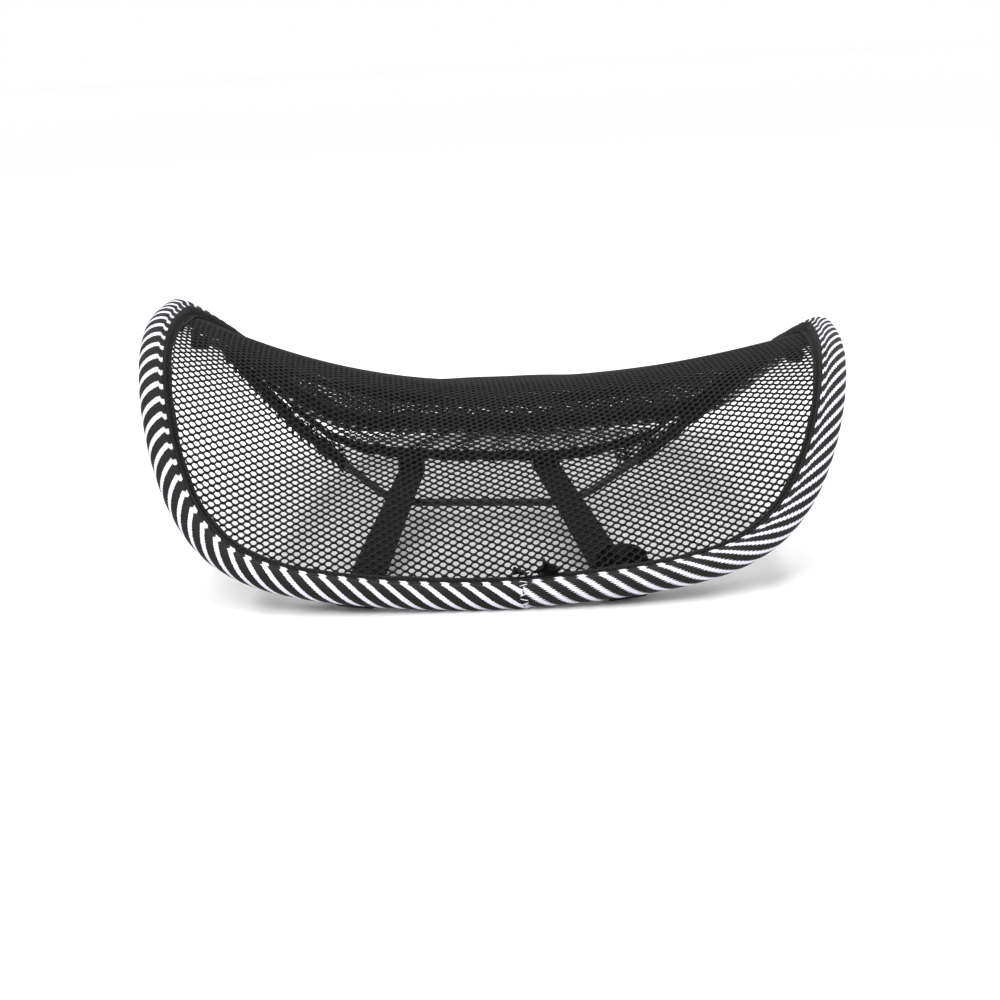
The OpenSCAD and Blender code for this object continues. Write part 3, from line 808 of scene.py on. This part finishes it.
# Past the CAD web's ends the hem runs on to the tips
WEB_LOW_Z = np.vstack([[-0.160, 0.1045], WEB_LOW_Z, [0.156, 0.0850]])
WEB_LOW_Y = np.vstack([[-0.160, -0.007], WEB_LOW_Y, [0.156, -0.0065]])
WEB_TOP_Y, WEB_TOP_GAP = -0.006, 0.007
WEB_SIZE, WEB_HOLE = (0.0069, 0.0034), (0.00232, 0.00124)
GATHER_SIZE, GATHER_HOLE = (0.0052, 0.0023), (0.0011, 0.00052)


def web_low(x):
    z = np.interp(x, *WEB_LOW_Z.T) + BASE_Z
    z = np.minimum(z, panel_z(x, np.full_like(x, 1e-6)) - WEB_TOP_GAP - 0.0025)
    return np.stack([x, np.interp(x, *WEB_LOW_Y.T), z], axis=-1)


def web_top(x):
    return np.stack([x, np.full_like(x, WEB_TOP_Y), panel_z(x, np.full_like(x, 1e-6)) - WEB_TOP_GAP], axis=-1)


def make_back_mesh():
    middle = 0.055

    def place(u, v):
        low, top = web_low(u), web_top(u)
        f = np.clip((v + middle - low[..., 2]) / np.maximum(top[..., 2] - low[..., 2], 1e-4), -0.3, 1.3)
        p = low + (top - low) * f[..., None]
        p[..., 1] += 0.0008 * np.sin(u / 0.011 + 2 * v / 0.02)
        normal = np.zeros_like(p)
        normal[..., 1] = -1
        return p, normal

    def keep(u, v):
        low, top = web_low(u), web_top(u)
        z = v + middle
        return (u > -0.150) & (u < 0.146) & (z > low[..., 2] - 0.001) & (z < top[..., 2] - 0.0012)

    return hex_mesh(
        "back_mesh_knit", place, keep, WEB_SIZE, -5.0, WEB_HOLE, 0.0009,
        MESH_CLOTH, SUPPORT, 0.17, "back_mesh",
    )


def make_gather(side, x0, x1):
    """The web's cloth between its hem and the arm, drawn up into dense gathers."""
    arm = SUPPORT_LINE
    middle = (x0 + x1) / 2

    def ends(u):
        x = u + middle
        high = web_low(x)
        low = np.stack([x, np.interp(x, arm[:, 0], arm[:, 1]), np.interp(x, arm[:, 0], arm[:, 2])], axis=-1)
        return low, high

    def place(u, v):
        low, high = ends(u)
        f = np.clip((v + 0.02) / 0.04, 0, 1)
        p = low + (high - low) * f[..., None]
        p[..., 1] += -0.0012 + 0.0009 * np.sin(u / 0.0021 + 40 * v)
        normal = np.zeros_like(p)
        normal[..., 1] = -1
        return p, normal

    def keep(u, v):
        x = u + middle
        return (x > x0) & (x < x1) & (np.abs(v) < 0.02)

    # The rows are counted across the strip, whatever its height
    height = 0.008
    size = (GATHER_SIZE[0], GATHER_SIZE[1] * 0.04 / height)
    hole = (GATHER_HOLE[0], GATHER_HOLE[1] * 0.04 / height)
    return hex_mesh(f"arm_gather_{side}", place, keep, size, 0.0, hole, 0.0011, MESH_CLOTH, SUPPORT, 0.06)


def make_hem(name, node, x0, x1, width, at_top):
    """Binding folded over an edge of the web, slightly wavy."""
    x = np.linspace(x0, x1, 150)
    low, top = web_low(x), web_top(x)
    into = unit(top - low) * (-1 if at_top else 1)
    edge = top if at_top else low
    wave = 0.0004 * np.sin(x / 0.0041 + 1.5 * np.sin(x / 0.013))
    centre = edge + into * (width / 2 - 0.0008) + np.stack([0 * x, wave, 0.6 * wave], axis=-1)
    along = unit(np.gradient(centre, axis=0))
    up = np.cross(along, into)
    narrow = 1 - 0.42 * smooth_step(np.abs(x + 0.007), 0.075, 0.105)
    half = width / 2 * narrow * (1 + 0.06 * np.sin(x / 0.006))
    piece = ribbon(name, centre, into, up, half, 0.0020, TAPE_CLOTH, SUPPORT, cols=9)
    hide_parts(node)
    return piece


# ---- Straps ----

STRAP_W, STRAP_NECK_W, STRAP_T = 0.019, 0.016, 0.0012
STRAPS = {"left": (-0.068, -0.054), "right": (0.071, 0.026)}
# The y and the height above the base of each strap's upper end, where it meets the web's hem
STRAP_END_Y, STRAP_END_Z = -0.0092, 0.0195


def strap_q(x):
    return math.degrees(math.asin(x / HALF_WIDTH * 0.93))


def make_strap(side):
    """Ribbed elastic webbing, hooked under the rim and sewn up against the web's hem."""
    x_rim, x_hem = STRAPS[side]
    c, along, _, _ = (v[0] for v in rim_frame(np.array([strap_q(x_rim)])))
    back = unit(np.array([0.0, 1.0, 0.0]) - along[1] * along)
    rise = np.cross(along, back)
    r = SLEEVE_R + 0.0009
    end = np.array([x_hem, STRAP_END_Y, STRAP_END_Z + BASE_Z])
    tangent = -90 + math.degrees(math.atan2((end - c) @ rise + r, (end - c) @ back))
    points, across = [], []
    for f in np.radians(np.linspace(tangent - 4, tangent, 9)):
        points.append(c + r * math.cos(f) * back + r * math.sin(f) * rise)
        across.append(along)
    leave = points[-1]
    for f in np.linspace(0, 1, 24)[1:]:
        points.append(leave + (end - leave) * f)
        across.append(along * (1 - f) + np.array([1.0, 0, 0]) * f)
    for k in range(1, 6):
        f = math.radians(15 * k)
        points.append(end + np.array([0, 0.0008 * math.sin(f) * 0.2, 0.0024 * (1 - math.cos(f)) + 0.0014 * k]))
        across.append(np.array([1.0, 0, 0]))
    raw, raw_across = np.array(points), np.array(across)
    length = np.concatenate([[0], np.cumsum(np.linalg.norm(np.diff(raw, axis=0), axis=1))])
    at = np.linspace(0, length[-1], 560)
    centre = np.stack([np.interp(at, length, raw[:, k]) for k in range(3)], axis=1)
    side_dir = np.stack([np.interp(at, length, raw_across[:, k]) for k in range(3)], axis=1)
    way = unit(np.gradient(centre, axis=0))
    side_dir = unit(side_dir - np.sum(side_dir * way, axis=1, keepdims=True) * way)
    up = np.cross(side_dir, way)
    run = smooth_step(at, length[9], length[-1] - 0.01)
    half = (STRAP_W + (STRAP_NECK_W - STRAP_W) * run) / 2 + 0.00012 * np.sin(at * RIB_WAVE)
    cols = 15
    t = np.linspace(-1, 1, cols)
    edge = (1 - np.abs(t) ** 8 * 0.7)[None, :]
    rib = 1 + 0.22 * np.sin(at * RIB_WAVE)[:, None] * np.ones((1, cols))
    rise_half = STRAP_T / 2 * edge * rib
    middle = centre[:, None] + (t[None, :] * half[:, None])[..., None] * side_dir[:, None]
    top = middle + rise_half[..., None] * up[:, None]
    low = middle - rise_half[..., None] * up[:, None]
    verts = np.concatenate([top, low[:, ::-1]], axis=1)
    n, m = len(centre), 2 * cols
    faces = [tuple(f) for f in grid_faces(n, m, wrap_cols=True)]
    faces += [tuple(range(m - 1, -1, -1)), tuple((n - 1) * m + j for j in range(m))]
    piece = add_object(f"strap_{side}_webbing", verts.reshape(-1, 3), faces, WEBBING, body=None)
    widths = np.concatenate([t, t[::-1]])[None, :] * half[:, None]
    uv = np.stack([np.broadcast_to(at[:, None], widths.shape), widths], axis=-1)
    add_uv(piece, "along", uv.reshape(-1, 2))
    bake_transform(piece)
    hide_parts(f"strap_{side}")
    return piece


def make_tab(side, x, wide, tall, lean_deg, node):
    """A folded cloth end just inside the rim: a soft lip with a rounded top and a crease."""
    c, along, inward, up = (v[0] for v in rim_frame(np.array([strap_q(x)])))
    rows, cols = 22, 26
    s = np.linspace(0, 2 * np.pi, rows, endpoint=False)
    t = np.linspace(-1, 1, cols)
    lean = math.radians(lean_deg)
    rise_dir = math.cos(lean) * np.array([0, 1.0, 0]) + math.sin(lean) * np.array([0, 0, 1.0])
    thick_dir = np.cross(np.array([1.0, 0, 0]), rise_dir)
    origin = c + np.array([0, SLEEVE_R + 0.0006, -0.003])
    verts = []
    for v in t:
        shoulder = (1 - abs(v) ** 3.2) ** 0.45
        height = tall * (0.35 + 0.65 * shoulder)
        puff = 0.0013 * (1 - abs(v) ** 4) ** 0.5 + 0.0002
        for f in s:
            h = (0.5 - 0.5 * math.cos(f)) * height
            swell = puff * math.sin(f) * (1 + 0.35 * math.sin(5 * v + 2))
            fold = 0.0009 * math.sin(3.1 * v + 1.3) * (h / tall)
            verts.append(origin + np.array([v * wide / 2, 0, 0]) + h * rise_dir + (swell + fold) * thick_dir)
    faces = [tuple(f) for f in grid_faces(cols, rows, wrap_cols=True)]
    faces += [tuple(range(rows - 1, -1, -1)), tuple((cols - 1) * rows + j for j in range(rows))]
    piece = add_object(f"strap_tab_{side}_cloth", verts, faces, TAB_CLOTH)
    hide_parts(node)
    return piece


def make_bar_tacks():
    """Zigzag bar tacks through each strap's upper end."""
    for side, (_, x_hem) in STRAPS.items():
        starts, ends = [], []
        for row in range(2):
            z = BASE_Z + STRAP_END_Z + 0.0032 + 0.0024 * row
            xs = x_hem + np.linspace(-0.0068, 0.0068, 18)
            for k in range(len(xs) - 1):
                zig = 0.0006 if k % 2 else -0.0006
                starts.append(np.array([xs[k], STRAP_END_Y - 0.0008, z + zig]))
                ends.append(np.array([xs[k + 1], STRAP_END_Y - 0.0008, z - zig]))
        normals = [np.array([0.0, -1.0, 0.0])] * len(starts)
        stitches(f"hem_bar_tack_{side}", starts, ends, normals, 0.0002, BLACK_THREAD, SUPPORT)
    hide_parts("strap_hem_stitches")


def make_tape_ends():
    """The tape's two cut ends, folded up into small tufts beside the sleeve's joint."""
    for k, (x, tall, lean, wide) in enumerate(((0.0180, 0.0040, 0.2, 0.0045), (0.0320, 0.0100, 0.5, 0.0075))):
        c, along, inward, up = (v[0] for v in rim_frame(np.array([strap_q(x)])))
        base = c + inward * (SLEEVE_R + 0.004) + up * 0.002
        for leaf in range(3):
            n = 12
            f = np.linspace(0, 1, n)
            sway = lean + 0.35 * (leaf - 1)
            path = base + along * (0.0022 * (leaf - 1)) + f[:, None] * tall * (1 - 0.2 * leaf) * (
                up * 0.9 + along * sway - inward * 0.1
            )
            path = path + (np.sin(f * 3 + leaf) * 0.0012)[:, None] * inward
            twist = f * 1.8 + leaf * 1.1
            way = unit(np.gradient(path, axis=0))
            side_dir = np.cos(twist)[:, None] * along + np.sin(twist)[:, None] * inward
            side_dir = unit(side_dir - np.sum(side_dir * way, axis=1, keepdims=True) * way)
            half = wide / 2 * np.sin(np.pi * (0.25 + 0.62 * f)) * (1 + 0.15 * np.sin(9 * f + leaf))
            ribbon(
                f"tape_end_{k + 1}_{leaf + 1}", path, side_dir, np.cross(way, side_dir), half, 0.0007,
                TAPE_CLOTH, RIM, cols=5,
            )


# ---- Build the object ----

make_sleeve()
make_tape("edge_tape_top_cloth", "edge_tape_top", 1)
make_tape("edge_tape_bottom_cloth", "edge_tape_bottom", -1)
make_tape_stitches("edge_tape_top_thread", 1)
make_tape_stitches("edge_tape_bottom_thread", -1)
make_seam()
main_mesh, main_mesh_area = make_main_mesh()
make_support_wire()
make_arm("left", -0.160, -0.092, 38)
make_arm("right", 0.080, 0.157, 60)
back_mesh, back_mesh_area = make_back_mesh()
make_gather("left", -0.158, -0.092)
make_gather("right", 0.066, 0.154)
make_hem("back_mesh_lower_hem_tape", "back_mesh_lower_hem", -0.157, 0.152, 0.0060, False)
make_hem("back_mesh_upper_hem_tape", "back_mesh_upper_hem", -0.133, 0.119, 0.0052, True)
make_strap("left")
make_strap("right")
make_tab("left", -0.0715, 0.026, 0.011, 14, "strap_tab_left")
make_tab("right", 0.0695, 0.028, 0.0225, 46, "strap_tab_right")
make_bar_tacks()
make_tape_ends()

for node, material in (
    ("rim_wire", SPRING_STEEL), ("rim_wire_ferrule", FERRULE_STEEL), ("rim_foam", FOAM),
    ("wire_loop_left", TAPE_CLOTH), ("wire_loop_right", TAPE_CLOTH),
    ("wire_end_cap_left", CAP_RUBBER), ("wire_end_cap_right", CAP_RUBBER),
    ("strap_rim_stitches", BLACK_THREAD),
):
    repaint(node, material)

# ---- Floor, light and camera ----


def make_floor():
    bpy.ops.mesh.primitive_plane_add(size=12, location=(0, 3, 0))
    floor = bpy.context.object
    floor.name = "floor"
    m = Nodes("pale_table")
    m.set(Base_Color=(0.86, 0.86, 0.86, 1), Roughness=0.12)
    m.shader.inputs["Specular IOR Level"].default_value = 0.5
    floor.data.materials.append(m.material)


def make_light(name, location, target, size, power):
    data = bpy.data.lights.new(name, "AREA")
    data.energy = power
    data.shape = "RECTANGLE"
    data.size, data.size_y = size
    lamp = bpy.data.objects.new(name, data)
    lamp.location = location
    lamp.rotation_euler = (Vector(target) - Vector(location)).to_track_quat("-Z", "Y").to_euler()
    bpy.context.scene.collection.objects.link(lamp)


def make_world():
    world = bpy.data.worlds.new("studio")
    world.use_nodes = True
    world.node_tree.nodes["Background"].inputs["Color"].default_value = (1, 1, 1, 1)
    world.node_tree.nodes["Background"].inputs["Strength"].default_value = 1.0
    bpy.context.scene.world = world


def make_camera():
    distance, elevation, yaw, roll = 1.08, math.radians(15.2), math.radians(-2.64), math.radians(-2.83)
    data = bpy.data.cameras.new("camera")
    data.lens, data.sensor_width = 64.8, 36
    data.shift_x, data.shift_y = -0.005, -0.005
    data.clip_start, data.clip_end = 0.05, 50
    camera = bpy.data.objects.new("camera", data)
    turn = Matrix.Rotation(yaw, 3, "Z") @ Matrix.Rotation(roll, 3, "Y")
    back = turn.transposed()
    ce, se = math.cos(elevation), math.sin(elevation)
    right, above, behind = back @ Vector((1, 0, 0)), back @ Vector((0, se, ce)), back @ Vector((0, -ce, se))
    place = behind * distance + Vector((0, 0, BASE_Z))
    camera.matrix_world = Matrix((
        (right.x, above.x, behind.x, place.x),
        (right.y, above.y, behind.y, place.y),
        (right.z, above.z, behind.z, place.z),
        (0, 0, 0, 1),
    ))
    bpy.context.scene.collection.objects.link(camera)
    bpy.context.scene.camera = camera


make_floor()
make_world()
make_light("key", (-0.9, -1.3, 1.8), (0, 0, 0.05), (1.6, 1.2), 28)
make_light("fill", (1.4, -0.6, 1.2), (0, 0, 0.05), (1.2, 1.2), 12)
make_light("top", (0, 0.3, 1.9), (0, 0, 0), (2.2, 1.8), 26)
make_camera()
bpy.context.scene.view_settings.view_transform = "Standard"
